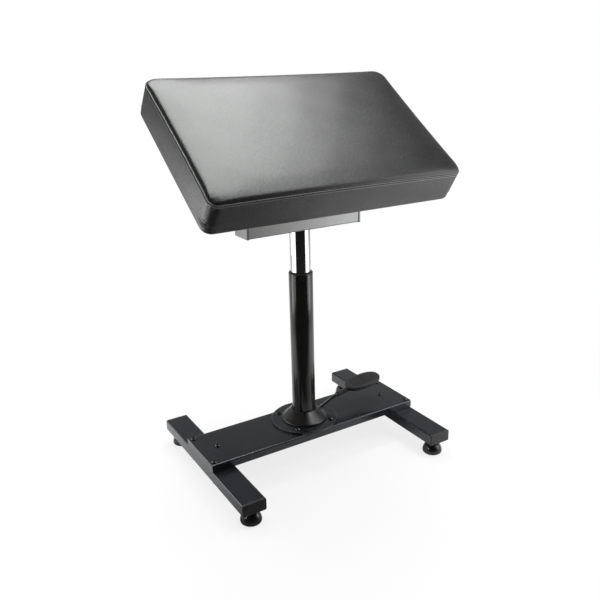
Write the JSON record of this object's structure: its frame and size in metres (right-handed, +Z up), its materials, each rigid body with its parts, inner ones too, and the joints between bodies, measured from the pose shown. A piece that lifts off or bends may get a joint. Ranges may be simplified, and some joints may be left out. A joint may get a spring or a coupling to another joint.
{
  "type": "arm rest stand",
  "caption": "Free-standing padded arm rest that tilts in a yoke on a swivelling gas-lift column with a foot lever and a low levelled base.",
  "frame": {"origin": "on the floor, on the column's axis, at the middle of the base", "axes": "+Z up along the column, +X to the right along the beam towards the foot lever, -Y to the front, where the low edge of the tilted pad points"},
  "size_m": [0.64, 0.46, 0.9545],
  "materials": {
    "black_paint": "satin black powder coat",
    "gloss_black_paint": "glossy black enamel",
    "satin_grey_paint": "satin grey paint",
    "bright_chrome": "polished hard chrome",
    "zinc_steel": "bright zinc-plated steel",
    "black_plastic": "fine matte black nylon",
    "gloss_black_plastic": "glossy moulded black plastic",
    "black_rubber": "matte ribbed rubber",
    "plywood": "raw birch plywood",
    "foam": "open-cell upholstery foam",
    "black_leather": "grained black imitation leather with a soft sheen"
  },
  "bodies": {
    "base": {"base_beam": "black_paint", "foot_tube_left": "black_paint", "foot_tube_right": "black_paint", "tube_cap_front_left": "black_plastic", "tube_cap_front_right": "black_plastic", "tube_cap_back_left": "black_plastic", "tube_cap_back_right": "black_plastic", "stud_inserts": "zinc_steel", "beam_bolts": "gloss_black_paint", "beam_spacers": "zinc_steel", "beam_nuts": "zinc_steel", "flange_plate": "gloss_black_paint", "flange_bolts": "gloss_black_paint", "flange_nuts": "zinc_steel", "cone_cover": "gloss_black_paint", "column_tube": "gloss_black_paint", "column_bush": "black_plastic", "rod_anchor": "zinc_steel", "lower_race": "zinc_steel", "bearing_balls": "bright_chrome", "lever_ears": "black_paint", "lever_pin": "zinc_steel"},
    "spring_rod": {"piston_rod": "bright_chrome", "piston": "zinc_steel", "upper_race": "zinc_steel", "rod_clip": "zinc_steel"},
    "valve_pin": {"release_pin": "zinc_steel"},
    "head": {"post_tube": "bright_chrome", "post_plug": "zinc_steel", "post_ring": "black_plastic", "gas_cylinder": "black_paint", "rod_guide": "black_plastic", "head_fasteners": "zinc_steel", "yoke_bar": "satin_grey_paint", "cheek_left": "satin_grey_paint", "cheek_right": "satin_grey_paint", "pivot_bolts": "zinc_steel", "pivot_nuts": "zinc_steel", "friction_washers": "black_plastic", "clamp_nut": "zinc_steel"},
    "pad": {"pad_rail_left": "black_paint", "pad_rail_right": "black_paint", "rail_screws": "zinc_steel", "board_nuts": "zinc_steel", "pad_board": "plywood", "pad_foam": "foam", "pad_cover": "black_leather"},
    "knob": {"clamp_knob": "black_plastic", "clamp_stud": "zinc_steel"},
    "pedal": {"foot_lever": "black_paint", "pedal_plate": "black_paint", "pedal_rubber": "black_rubber"},
    "foot_front_left": {"glide_front_left": "gloss_black_plastic", "level_stud_front_left": "zinc_steel"},
    "foot_front_right": {"glide_front_right": "gloss_black_plastic", "level_stud_front_right": "zinc_steel"},
    "foot_back_left": {"glide_back_left": "gloss_black_plastic", "level_stud_back_left": "zinc_steel"},
    "foot_back_right": {"glide_back_right": "gloss_black_plastic", "level_stud_back_right": "zinc_steel"}
  },
  "joints": [
    {"name": "swivel", "type": "hinge", "parent": "base", "child": "spring_rod", "pos_m": [0, 0, 0.124], "axis": [0, 0, 1], "continuous": true},
    {"name": "lift", "type": "slide", "parent": "spring_rod", "child": "head", "axis": [0, 0, 1], "range_m": [-0.1, 0.12]},
    {"name": "pad_tilt", "type": "hinge", "parent": "head", "child": "pad", "pos_m": [0, 0, 0.744], "axis": [1, 0, 0], "range_deg": [-35, 35]},
    {"name": "clamp_turn", "type": "hinge", "parent": "head", "child": "knob", "pos_m": [0.157, 0, 0.674], "axis": [1, 0, 0], "range_deg": [-270, 0]},
    {"name": "pedal_press", "type": "hinge", "parent": "base", "child": "pedal", "pos_m": [0.04, 0, 0.1], "axis": [0, 1, 0], "range_deg": [0, 6], "stiffness_Nm_per_rad": 60, "springref_deg": -1.72},
    {"name": "pin_push", "type": "slide", "parent": "spring_rod", "child": "valve_pin", "axis": [0, 0, 1], "range_m": [0, 0.0045]},
    {"name": "level_front_left", "type": "slide", "parent": "base", "child": "foot_front_left", "axis": [0, 0, -1], "range_m": [0, 0.01]},
    {"name": "level_front_right", "type": "slide", "parent": "base", "child": "foot_front_right", "axis": [0, 0, -1], "range_m": [0, 0.01]},
    {"name": "level_back_left", "type": "slide", "parent": "base", "child": "foot_back_left", "axis": [0, 0, -1], "range_m": [0, 0.01]},
    {"name": "level_back_right", "type": "slide", "parent": "base", "child": "foot_back_right", "axis": [0, 0, -1], "range_m": [0, 0.01]}
  ],
  "couplings": [
    {"joint": "pin_push", "follows": "pedal_press", "m_per_rad": 0.04}
  ]
}
